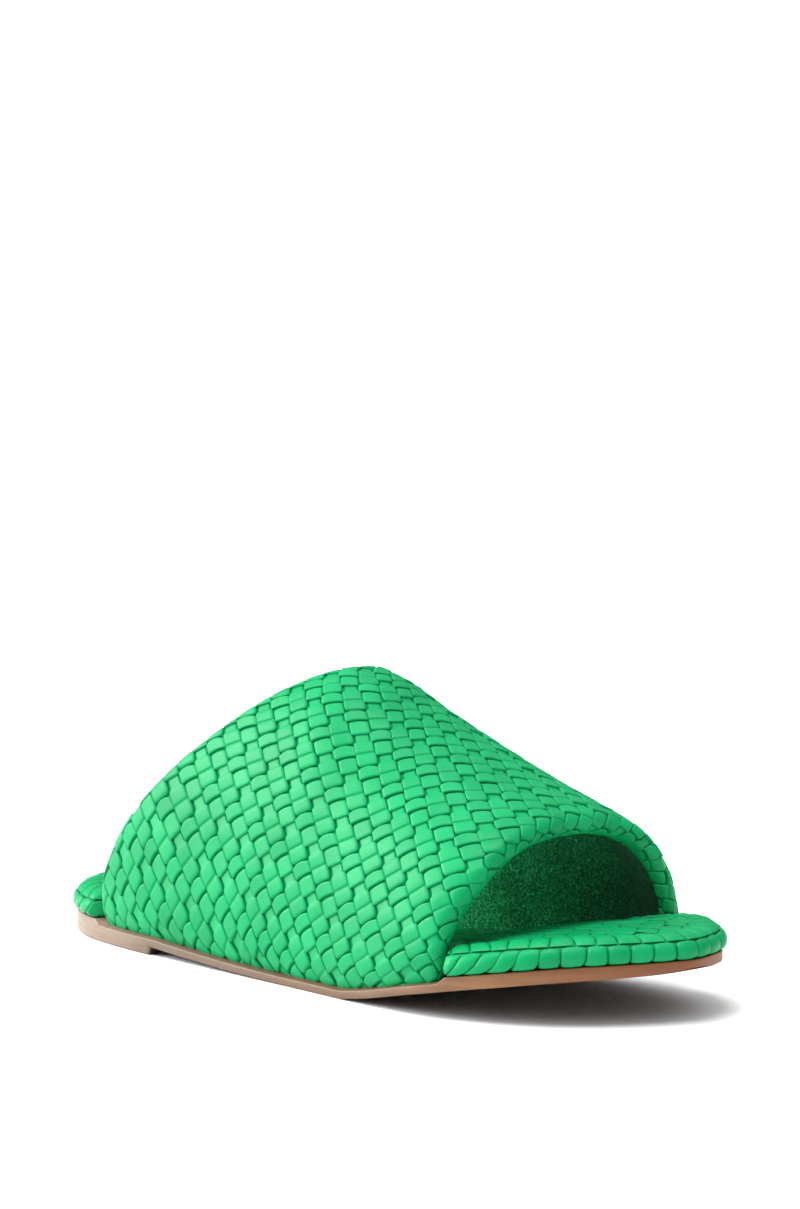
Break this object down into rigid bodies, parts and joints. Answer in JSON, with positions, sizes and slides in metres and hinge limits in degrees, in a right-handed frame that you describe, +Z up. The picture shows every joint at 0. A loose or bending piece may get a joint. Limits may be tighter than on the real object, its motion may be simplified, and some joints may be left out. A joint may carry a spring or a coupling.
{
  "type": "braided flat sandal",
  "caption": "Flat slip-on sandal for the right foot: one wide woven leather band with rolled rims over a woven padded footbed, on a thin moulded sole with a low heel.",
  "frame": {"origin": "on the floor, under the middle of the shoe's box", "axes": "+X from heel to toe, +Y towards the inner (big toe) side, +Z up from the floor"},
  "size_m": [0.2516, 0.0866, 0.0915],
  "materials": {
    "sole_rubber": "satin",
    "woven_leather": "satin",
    "suede_lining": "matte"
  },
  "bodies": {
    "root": {"outsole": "sole_rubber", "footbed": "woven_leather", "upper": "woven_leather"}
  },
  "joints": []
}
